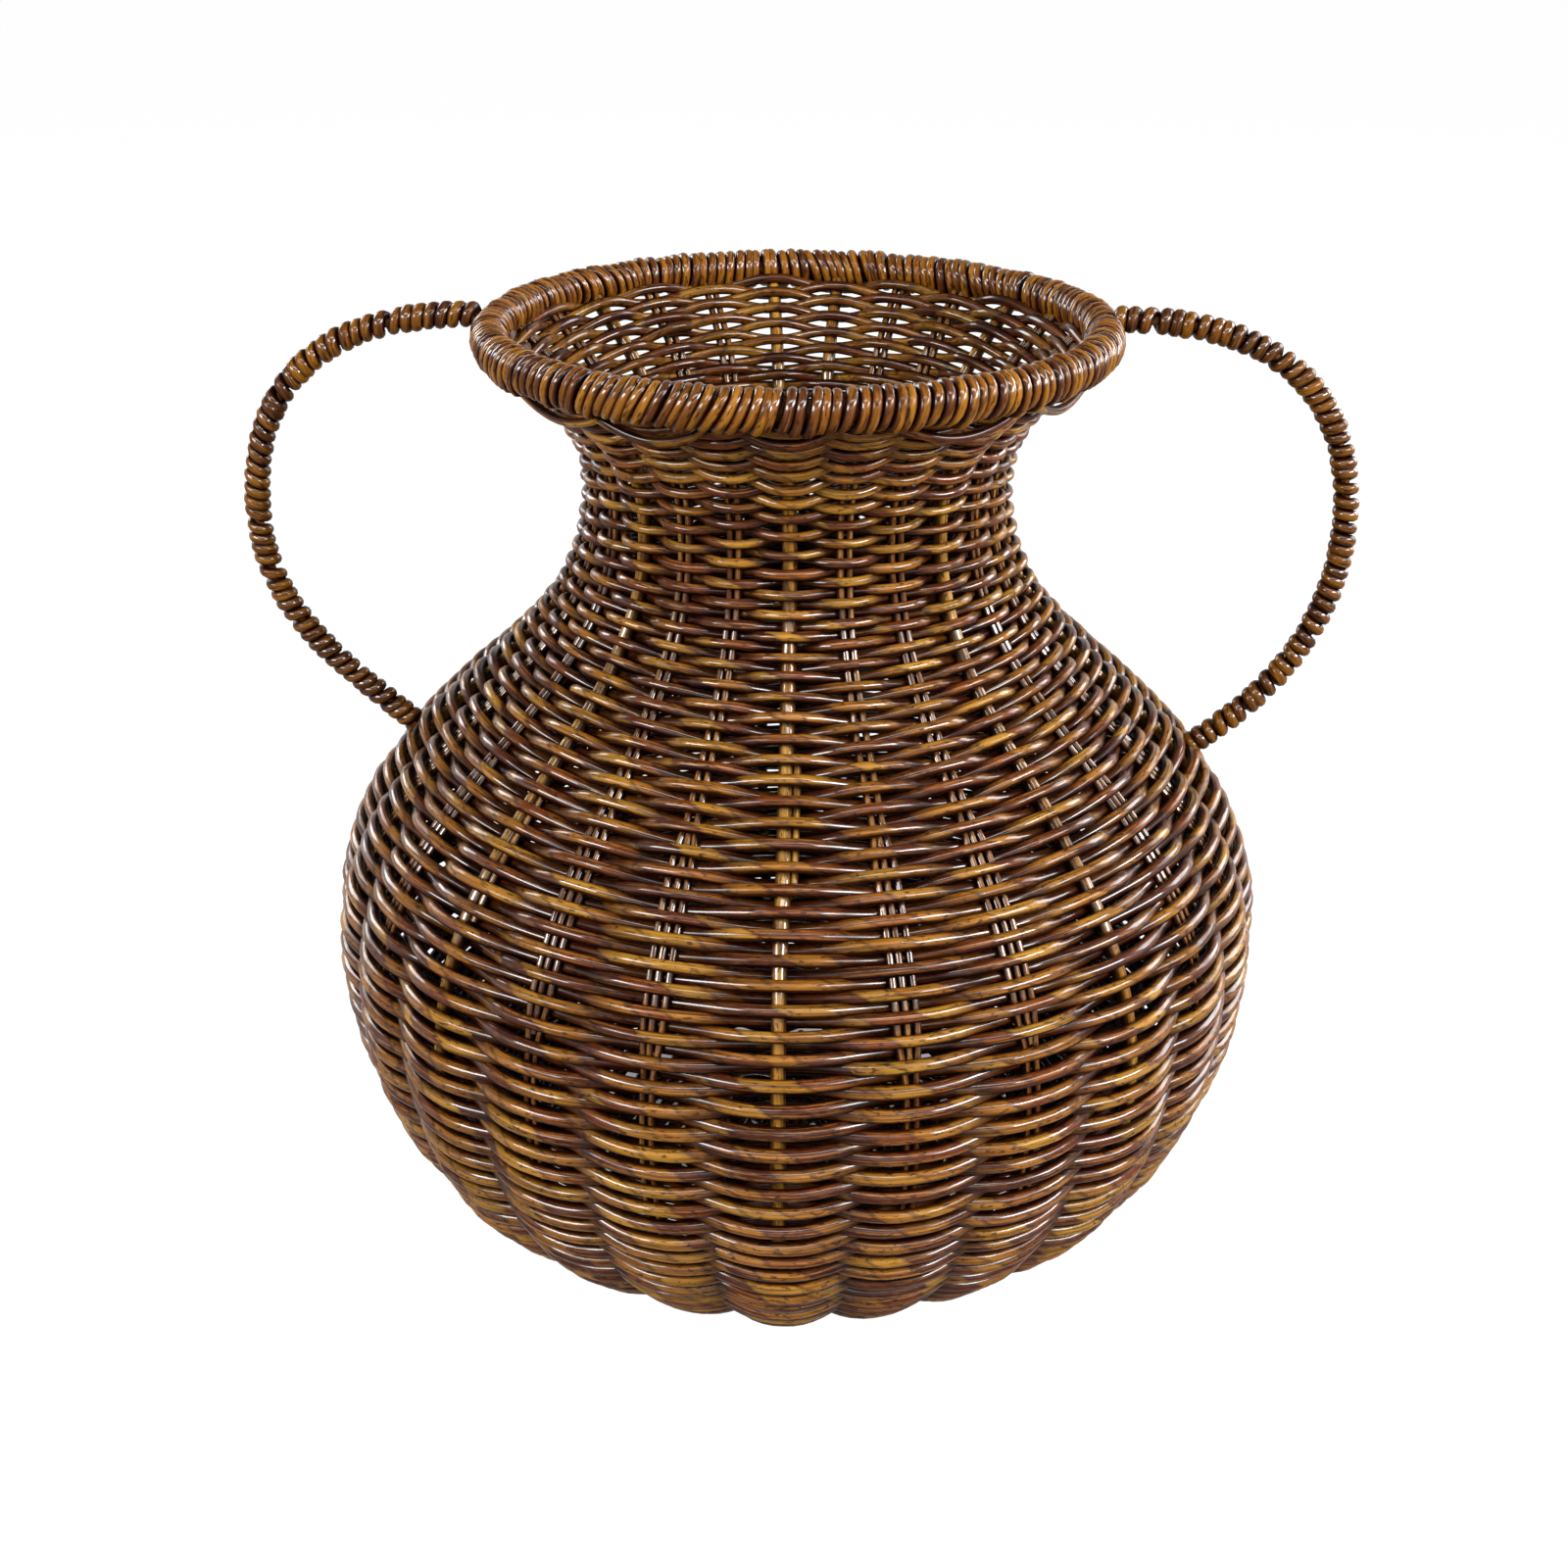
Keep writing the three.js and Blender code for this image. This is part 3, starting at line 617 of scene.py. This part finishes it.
# Base: crossed sticks in two layers, two chasing weavers and a twisted ring of waling
STICK_ROD = 3.4
STICKS_IN_LAYER = 3
STICK_ARMS = 4 * STICKS_IN_LAYER
STICK_PITCH = 3.7
STICK_CROSSING = 8
STICK_REACH = 79
STICK_POINTS = 61
BASE_LEVEL = 10
BASE_DEPTH = 0.3
BASE_WEAVE_START = 16
BASE_WEAVE_END = 73.4
BASE_ROW = 3.5
BASE_CLEARANCE = 0.1
BASE_TURNS_SHORT = 0.5
BASE_POINTS_IN_STEP = 8
STICKS_FANNED = BASE_WEAVE_START + 6
WALE_RADIUS = 80.5
WALE_LEVEL = 4
WALE_RODS = 4
WALE_ROD_RADIUS = 1.9
WALE_TWISTS = 26
WALE_POINTS = 501
WALE_HALF_WIDTH = 3.5
WALE_HALF_HEIGHT = 2.1
WALE_DEPTH = 0.2


def straight_down(count):
    return np.tile([0.0, 0.0, -1.0], (count, 1))


def stick_run(layer, place):
    fan = place * 2 * math.pi / STICK_ARMS
    lift = -STICK_PITCH / 2 if layer == 0 else STICK_PITCH / 2
    reach = np.linspace(-STICK_REACH, STICK_REACH, STICK_POINTS)
    fanned = ease((np.abs(reach) - STICK_CROSSING) / (STICKS_FANNED - STICK_CROSSING))
    across = place * STICK_PITCH * (1 - fanned) + np.abs(reach) * math.sin(fan) * fanned
    along = reach * (1 - fanned) + reach * math.cos(fan) * fanned
    level = BASE_LEVEL + lift * (1 - fanned)
    points = np.column_stack([along, across, level])
    if layer == 1:
        points = np.column_stack([-across, along, level])
    return even_run(points, STICK_ROD / 2, BASE_DEPTH, rng.uniform(), straight_down(STICK_POINTS))


def base_stick(index):
    place = index % STICKS_IN_LAYER - (STICKS_IN_LAYER - 1) / 2
    return strands(f"base_stick_{index + 1}_rod", [stick_run(index // STICKS_IN_LAYER, place)])


def base_weaver(index):
    turns = (BASE_WEAVE_END - BASE_WEAVE_START) / (2 * BASE_ROW) - BASE_TURNS_SHORT
    steps = turns * STICK_ARMS
    crossing = np.linspace(0, steps, int(steps * BASE_POINTS_IN_STEP))
    radius = BASE_WEAVE_START + BASE_ROW * (2 * crossing / STICK_ARMS + index)
    height = (STICK_ROD + BASE_ROW) / 2 + BASE_CLEARANCE
    side = 1 if index == 0 else -1
    level = BASE_LEVEL + side * height * np.cos(math.pi * crossing)
    points = turned(radius, level, math.pi / 2 + crossing * 2 * math.pi / STICK_ARMS)
    run = even_run(points, BASE_ROW / 2, BASE_DEPTH, rng.uniform(), straight_down(len(points)))
    return strands(f"base_weaver_{index + 1}_rod", [run])


def base_wale():
    turn = np.linspace(0, 1, WALE_POINTS)
    down = straight_down(WALE_POINTS)
    runs = []
    for rod in range(WALE_RODS):
        twist = 2 * math.pi * (turn * WALE_TWISTS + rod / WALE_RODS)
        radius = WALE_RADIUS + WALE_HALF_WIDTH * np.cos(twist)
        level = WALE_LEVEL + WALE_HALF_HEIGHT * np.sin(twist)
        points = turned(radius, level, 2 * math.pi * turn)
        runs.append(even_run(points, WALE_ROD_RADIUS, WALE_DEPTH, rng.uniform(), down))
    return strands("base_waling", runs)


# Materials
def tone(code):
    """A colour written as on a screen, turned to linear light."""
    parts = [int(code[k:k + 2], 16) / 255 for k in (1, 3, 5)]
    return [p / 12.92 if p <= 0.04045 else ((p + 0.055) / 1.055) ** 2.4 for p in parts] + [1.0]


def bands(*stops):
    """Colours along a ramp. A patch picks one at random, so each gets the share up to the next start."""
    return [(start, tone(code)) for start, code in stops]


class Wire:
    """An output of a shader node. Python maths on it adds Math nodes."""

    def __init__(self, tree, socket=None):
        self.tree = tree
        self.socket = socket

    def add(self, kind, settings=None, sockets=None, out=0):
        node = self.tree.nodes.new(kind)
        for key, value in (settings or {}).items():
            if key == "stops":
                self.set_stops(node.color_ramp, value)
            elif key == "interpolation":
                node.color_ramp.interpolation = value
            else:
                setattr(node, key, value)
        for key, value in (sockets or {}).items():
            if isinstance(value, Wire):
                self.tree.links.new(value.socket, node.inputs[key])
            else:
                node.inputs[key].default_value = value
        return Wire(self.tree, node.outputs[out]) if node.outputs else node

    @staticmethod
    def set_stops(ramp, stops):
        while len(ramp.elements) < len(stops):
            ramp.elements.new(1.0)
        for element, (position, colour) in zip(ramp.elements, stops):
            element.position = position
            element.color = colour

    def math(self, operation, first, second):
        return self.add("ShaderNodeMath", {"operation": operation}, {0: first, 1: second})

    def __add__(self, other):
        return self.math("ADD", self, other)

    def __radd__(self, other):
        return self.math("ADD", other, self)

    def __sub__(self, other):
        return self.math("SUBTRACT", self, other)

    def __rsub__(self, other):
        return self.math("SUBTRACT", other, self)

    def __mul__(self, other):
        return self.math("MULTIPLY", self, other)

    def between(self, low, high):
        settings = {"interpolation_type": "SMOOTHSTEP"}
        return self.add("ShaderNodeMapRange", settings, {0: self, 1: low, 2: high})

    def part(self, axis):
        return self.add("ShaderNodeSeparateXYZ", None, {"Vector": self}, out=axis)

    def colours(self, stops, interpolation="LINEAR"):
        settings = {"interpolation": interpolation, "stops": stops}
        return self.add("ShaderNodeValToRGB", settings, {0: self})

    def blend(self, first, second, kind="MIX"):
        settings = {"data_type": "RGBA", "blend_type": kind}
        return self.add("ShaderNodeMix", settings, {0: self, 6: first, 7: second}, out=2)


def new_material(name):
    material = bpy.data.materials.new(name)
    material.use_nodes = True
    material.node_tree.nodes.clear()
    return material, Wire(material.node_tree)


COAT_ROUGHNESS = 0.1
COAT_IOR = 1.62
ROD_IOR = 1.45
ROD_SPECULAR = 0.08
BUMP_DISTANCE = 0.0003
NOISE_ROUGHNESS = 0.6


def finish_material(board, colour, roughness, normal, coat):
    shader = board.add(
        "ShaderNodeBsdfPrincipled",
        None,
        {
            "Base Color": colour,
            "Roughness": roughness,
            "Normal": normal,
            "Coat Weight": coat,
            "Coat Roughness": COAT_ROUGHNESS,
            "Coat IOR": COAT_IOR,
            "IOR": ROD_IOR,
            "Specular IOR Level": ROD_SPECULAR,
        },
    )
    board.add("ShaderNodeOutputMaterial", None, {"Surface": shader})


# Noise that is drawn out along the strand
def stretched_noise(board, place, stretch, detail):
    drawn = board.add("ShaderNodeVectorMath", {"operation": "MULTIPLY"}, {0: place, 1: stretch})
    sockets = {"Vector": drawn, "Scale": 1.0, "Detail": detail, "Roughness": NOISE_ROUGHNESS}
    return board.add("ShaderNodeTexNoise", None, sockets)


@dataclass
class Marking:
    """A marking of the rods: where it starts and is full in its noise, its strength, and its colour.
    One that starts above where it is full shows where the noise is low."""
    start: float
    full: float
    strength: float
    colour: list | tuple
    kind: str = "MIX"

    def over(self, noise, below, share=1.0):
        amount = noise.between(self.start, self.full) * self.strength * share
        return amount.blend(below, self.colour, self.kind)


STREAKS = Marking(0.4, 0.7, 0.6, tone("#2c1006"))
DARK_STRIPES = Marking(0.52, 0.57, 0.55, tone("#2e150b"))
PALE_STRIPES = Marking(0.45, 0.4, 0.4, tone("#885a24"))
FINE_GRAIN = Marking(0.5, 0.75, 0.2, tone("#a87838"))
PATCH_EDGES = Marking(0.11, 0.03, 0.62, tone("#200e08"))
SPECKS = Marking(0.59, 0.63, 0.8, tone("#1e0a04"))
UNLIT_SIDE = Marking(0.0, 0.5, 0.4, tone("#0c0402"))
# Painted shade: what is kept of the colour deep in the wall and in the grooves between strands, where it
# turns a darker red
DEEP_SHADE = (0.22, 0.12, 0.07, 1.0)
DEEP_FROM = 0.08
DEEP_TO = 0.7
GROOVE_SHADE = (0.12, 0.045, 0.025, 1.0)
# Noises on a strand: cells across, and along it to a metre, and the detail
FIBRE_NOISE = ((1.6, 1.6, 55.0), 3.0)
STRIPE_NOISE = ((2.6, 2.6, 16.0), 2.0)
FINE_NOISE = ((5.5, 5.5, 160.0), 2.0)
SPECK_NOISE = ((2.2, 2.2, 330.0), 2.0)
WEAR_NOISE = ((0.5, 0.5, 70.0), 1.0)
# Patches' ends: how they slant round the strand, how ragged they are, and which fibres stain them
PATCH_SLANTS = (0.22, 0.1)
PATCH_RAGGED = 0.45
PATCHES_TO_NEXT_STRAND = 31
STAINED_FIBRES = (0.35, 0.5)
# Lacquer: worn thin in places, and thickest on the strands' upper side, clear of the grooves
WORN_COAT = 0.1
KEPT_COAT = 0.46
WEAR_RANGE = (0.35, 0.65)
COAT_ON_TOP = (0.05, 0.45)
COAT_OFF_SIDE = (0.45, 0.9)
# What the fibres and the fine grain do to the surface
ROD_ROUGHNESS = 0.3
FIBRE_ROUGHNESS = 0.2
FINE_ROUGHNESS = 0.08
FIBRE_RELIEF = 0.6
FINE_RELIEF = 0.4
BUMP_STRENGTH = 0.2
# Cores
CORE_FIBRES = 240.0
CORE_FIBRE_DETAIL = 3.0
CORE_ROUGHNESS = 0.5
CORE_BUMP_STRENGTH = 0.3


def rattan(name, tones, patch, deep_shade, side_shade, groove, gloss, grain):
    """Lacquered rattan whose colour changes in patches along each strand, with fibres and specks, and
    with painted shade deep in the wall, inside the belly and in the grooves.
    """
    material, board = new_material(name)
    place = board.add("ShaderNodeAttribute", {"attribute_name": "strand_place"}, out="Vector")
    number, depth, side, top, inside = (
        board.add("ShaderNodeAttribute", {"attribute_name": f"strand_{mark}"}, out="Fac")
        for mark in ("number", "depth", "side", "top", "inside")
    )
    fibre = stretched_noise(board, place, *FIBRE_NOISE)
    stripe = stretched_noise(board, place, *STRIPE_NOISE)
    fine = stretched_noise(board, place, *FINE_NOISE)
    speck = stretched_noise(board, place, *SPECK_NOISE)
    wear = stretched_noise(board, place, *WEAR_NOISE)
    along = place.part(2) * (1 / patch) + number * PATCHES_TO_NEXT_STRAND
    slant = place.part(0) * PATCH_SLANTS[0] + place.part(1) * PATCH_SLANTS[1]
    patch_place = {"W": along + slant + fibre * PATCH_RAGGED, "Scale": 1.0}
    in_line = {"voronoi_dimensions": "1D"}
    patches = board.add("ShaderNodeTexVoronoi", in_line, patch_place, out="Color")
    edge = board.add("ShaderNodeTexVoronoi", {**in_line, "feature": "DISTANCE_TO_EDGE"}, patch_place)
    colour = patches.part(0).colours(tones, "CONSTANT")
    colour = STREAKS.over(fibre, colour, grain)
    colour = DARK_STRIPES.over(stripe, colour, grain)
    colour = PALE_STRIPES.over(stripe, colour, grain)
    colour = FINE_GRAIN.over(fine, colour)
    colour = PATCH_EDGES.over(edge, colour, fine.between(*STAINED_FIBRES))
    colour = SPECKS.over(speck, colour)
    # Painted shade: darker deep in the wall, on the inner face of the belly and in the grooves between
    # strands
    colour = Marking(DEEP_FROM, DEEP_TO, deep_shade, DEEP_SHADE, "MULTIPLY").over(depth, colour)
    colour = UNLIT_SIDE.over(inside, colour)
    colour = Marking(*groove, side_shade, GROOVE_SHADE, "MULTIPLY").over(side, colour)
    roughness = ROD_ROUGHNESS + fibre * FIBRE_ROUGHNESS - fine * FINE_ROUGHNESS
    worn = WORN_COAT + wear.between(*WEAR_RANGE) * KEPT_COAT
    coat = worn * gloss * top.between(*COAT_ON_TOP) * (1 - side.between(*COAT_OFF_SIDE))
    height = fibre * FIBRE_RELIEF + fine * FINE_RELIEF
    relief = {"Strength": BUMP_STRENGTH, "Distance": BUMP_DISTANCE, "Height": height}
    normal = board.add("ShaderNodeBump", None, relief)
    finish_material(board, colour, roughness, normal, coat)
    return material


def hidden_rattan(name):
    """Plain dark rattan for the cores that the wrapping hides."""
    material, board = new_material(name)
    place = board.add("ShaderNodeTexCoord", out="Object")
    sockets = {"Vector": place, "Scale": CORE_FIBRES, "Detail": CORE_FIBRE_DETAIL}
    fibre = board.add("ShaderNodeTexNoise", None, sockets)
    colour = fibre.colours(bands((0.3, "#2c180d"), (0.7, "#5d3b20")))
    relief = {"Strength": CORE_BUMP_STRENGTH, "Distance": BUMP_DISTANCE, "Height": fibre}
    normal = board.add("ShaderNodeBump", None, relief)
    roughness = CORE_ROUGHNESS + fibre * FIBRE_ROUGHNESS
    finish_material(board, colour, roughness, normal, coat=0.0)
    return material


MOTTLED = bands(
    (0.0, "#391608"), (0.16, "#623d0e"), (0.34, "#6e4b11"), (0.5, "#4a2008"),
    (0.66, "#663f0e"), (0.8, "#785518"), (0.9, "#2b0e05"),
)
HONEY = bands((0.0, "#7c581e"), (0.45, "#714b15"), (0.72, "#8a662a"), (0.9, "#56380f"))
STAKES = bands((0.0, "#66421f"), (0.3, "#4c2c11"), (0.55, "#73512a"), (0.8, "#3c200d"))
RIM_WRAPPING = bands(
    (0.0, "#673e09"), (0.25, "#532e06"), (0.42, "#70470b"),
    (0.62, "#421f06"), (0.78, "#5e360a"), (0.92, "#341505"),
)
HANDLE_WRAPPING = bands(
    (0.0, "#4f2d04"), (0.25, "#402204"), (0.42, "#593604"),
    (0.62, "#331903"), (0.78, "#492904"), (0.92, "#291103"),
)

brown_rattan = rattan(
    "brown_rattan", MOTTLED,
    patch=0.0145, deep_shade=0.95, side_shade=0.95, groove=(0.22, 0.64), gloss=1.0, grain=1.0,
)
honey_rattan = rattan(
    "honey_rattan", HONEY,
    patch=0.06, deep_shade=0.35, side_shade=0.85, groove=(0.03, 0.5), gloss=1.3, grain=1.0,
)
stake_rattan = rattan(
    "stake_rattan", STAKES,
    patch=0.045, deep_shade=0.4, side_shade=0.95, groove=(0.02, 0.4), gloss=1.6, grain=1.0,
)
rim_rattan = rattan(
    "rim_rattan", RIM_WRAPPING,
    patch=0.022, deep_shade=0.3, side_shade=1.0, groove=(0.04, 0.5), gloss=1.2, grain=0.5,
)
handle_rattan = rattan(
    "handle_rattan", HANDLE_WRAPPING,
    patch=0.022, deep_shade=0.3, side_shade=1.0, groove=(0.05, 0.56), gloss=1.0, grain=0.5,
)
core_rattan = hidden_rattan("core_rattan")


# Dressing: each new piece takes the place of its solids and rides with the vase
def paint(piece, material):
    piece.data.materials.clear()
    piece.data.materials.append(material)


def dress(piece, material, slot, *nodes):
    paint(piece, material)
    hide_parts(*nodes)
    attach(piece, "root")


for weaver_name, weaver in weavers().items():
    dress(weaver, brown_rattan, "brown_rattan", weaver_name)
for rib in range(RIB_COUNT):
    finish = (honey_rattan, "honey_rattan") if is_stout(rib) else (stake_rattan, "stake_rattan")
    dress(rib_piece(rib), *finish, f"rib_{rib + 1:02d}")
dress(rim_wrap(), rim_rattan, "wrap_rattan", "rim_wrap")
for hand in ("left", "right"):
    dress(handle_wrap(hand), handle_rattan, "wrap_rattan", f"handle_wrap_{hand}")
for index in range(2 * STICKS_IN_LAYER):
    dress(base_stick(index), honey_rattan, "honey_rattan", f"base_stick_{index + 1}")
for index in range(2):
    dress(base_weaver(index), brown_rattan, "brown_rattan", f"base_weaver_{index + 1}")
dress(base_wale(), brown_rattan, "brown_rattan", "base_wale")
for core_name in ("rim_core", "handle_core_left", "handle_core_right"):
    paint(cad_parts[core_name], core_rattan)

# Floor: white where it is seen, with a painted shadow about the foot where the white fades to the grey
# lit floor and the real shadow on it, and grey for the light that it gives back
FLOOR_SIZE = 60
FLOOR_LIT = (0.45, 0.45, 0.45, 1)
FLOOR_FAINT = (0.06, 0.06, 0.06, 1)
FLOOR_GLOW = 0.98
# Painted shadow on the floor: the white fades round a spot a little behind the foot
FOOT_SHADOW_MIDDLE = (0.0, 0.03, 0.0)
FOOT_SHADOW_FROM = 0.07
FOOT_SHADOW_TO = 0.122
FOOT_SHADOW_LEAST = 0.15
WHITE = (1, 1, 1, 1)
SEEN_RAYS = ("Is Camera Ray", "Is Glossy Ray", "Is Transmission Ray")


def seen_ray(board):
    seen, shiny, through = (board.add("ShaderNodeLightPath", out=ray) for ray in SEEN_RAYS)
    return seen.math("MAXIMUM", seen.math("MAXIMUM", seen, shiny), through)


def white_floor():
    material, board = new_material("white_floor")
    lit = board.add("ShaderNodeBsdfDiffuse", None, {"Color": FLOOR_LIT})
    faint = board.add("ShaderNodeBsdfDiffuse", None, {"Color": FLOOR_FAINT})
    glow = board.add("ShaderNodeEmission", None, {"Color": WHITE, "Strength": FLOOR_GLOW})
    bright = board.add("ShaderNodeAddShader", None, {0: faint, 1: glow})
    place = board.add("ShaderNodeTexCoord", out="Object")
    sockets = {0: place, 1: FOOT_SHADOW_MIDDLE}
    behind = board.add("ShaderNodeVectorMath", {"operation": "SUBTRACT"}, sockets)
    away = board.add("ShaderNodeVectorMath", {"operation": "LENGTH"}, {0: behind}, out="Value")
    clear = away.between(FOOT_SHADOW_FROM, FOOT_SHADOW_TO)
    open_floor = FOOT_SHADOW_LEAST + clear * (1 - FOOT_SHADOW_LEAST)
    sockets = {0: seen_ray(board) * open_floor, 1: lit, 2: bright}
    surface = board.add("ShaderNodeMixShader", None, sockets)
    board.add("ShaderNodeOutputMaterial", None, {"Surface": surface})
    return material


bpy.ops.object.select_all(action="DESELECT")
bpy.ops.mesh.primitive_plane_add(size=FLOOR_SIZE, location=(0, 0, 0))
floor = bpy.context.object
floor.name = "floor"
floor.data.materials.append(white_floor())

# World: a white backdrop near the horizon, and little light of its own
SKY_LIGHT = 0.1
BACKDROP_FADE = (0.3, 0.6)
world = bpy.data.worlds.new("studio")
bpy.context.scene.world = world
world.use_nodes = True
world.node_tree.nodes.clear()
air = Wire(world.node_tree)
soft = air.add("ShaderNodeBackground", None, {"Color": WHITE, "Strength": SKY_LIGHT})
white = air.add("ShaderNodeBackground", None, {"Color": WHITE, "Strength": 1.0})
way = air.add("ShaderNodeTexCoord", out="Generated")
backdrop = seen_ray(air) * (1 - way.part(2).between(*BACKDROP_FADE))
sky = air.add("ShaderNodeMixShader", None, {0: backdrop, 1: soft, 2: white})
air.add("ShaderNodeOutputWorld", None, {"Surface": sky})

# Light and camera
LIGHTS_AIM = (0, 0, 0.18)


def softbox(name, place, width, height, power):
    light = bpy.data.lights.new(name, "AREA")
    light.shape = "RECTANGLE"
    light.size = width
    light.size_y = height
    light.energy = power
    lamp = bpy.data.objects.new(name, light)
    lamp.location = place
    x, y, z = np.array(place) - np.array(LIGHTS_AIM)
    lamp.rotation_euler = (math.atan2(math.hypot(x, y), z), 0, math.atan2(x, -y))
    bpy.context.collection.objects.link(lamp)


softbox("key", (1.3, -0.7, 0.95), 1.2, 0.4, 61)
softbox("fill", (-1.15, -0.95, 0.9), 1.0, 0.4, 38.5)
softbox("front", (0.2, -1.5, 0.85), 1.4, 0.25, 4)
softbox("front_top", (0.1, -0.95, 1.5), 1.8, 0.22, 19)
softbox("right_back", (1.35, 0.75, 0.75), 0.9, 0.9, 31)
softbox("left_back", (-1.2, 1.1, 0.85), 0.7, 0.8, 18)

CAMERA_AWAY = 654.6
CAMERA_ASIDE = -4.3
CAMERA_LEVEL = 482.5
CAMERA_TURN = math.radians(2.18)
CAMERA_PITCH = math.radians(25.71)
SENSOR_WIDTH = 36
FOCAL_LENGTH = 46.06
lens = bpy.data.cameras.new("camera")
lens.sensor_width = SENSOR_WIDTH
lens.lens = FOCAL_LENGTH
camera = bpy.data.objects.new("camera", lens)
camera.location = (
    (CAMERA_ASIDE * math.cos(CAMERA_TURN) + CAMERA_AWAY * math.sin(CAMERA_TURN)) * MM,
    (CAMERA_ASIDE * math.sin(CAMERA_TURN) - CAMERA_AWAY * math.cos(CAMERA_TURN)) * MM,
    CAMERA_LEVEL * MM,
)
camera.rotation_euler = (math.pi / 2 - CAMERA_PITCH, 0, CAMERA_TURN)
bpy.context.collection.objects.link(camera)
bpy.context.scene.camera = camera
bpy.context.scene.view_settings.view_transform = "Standard"
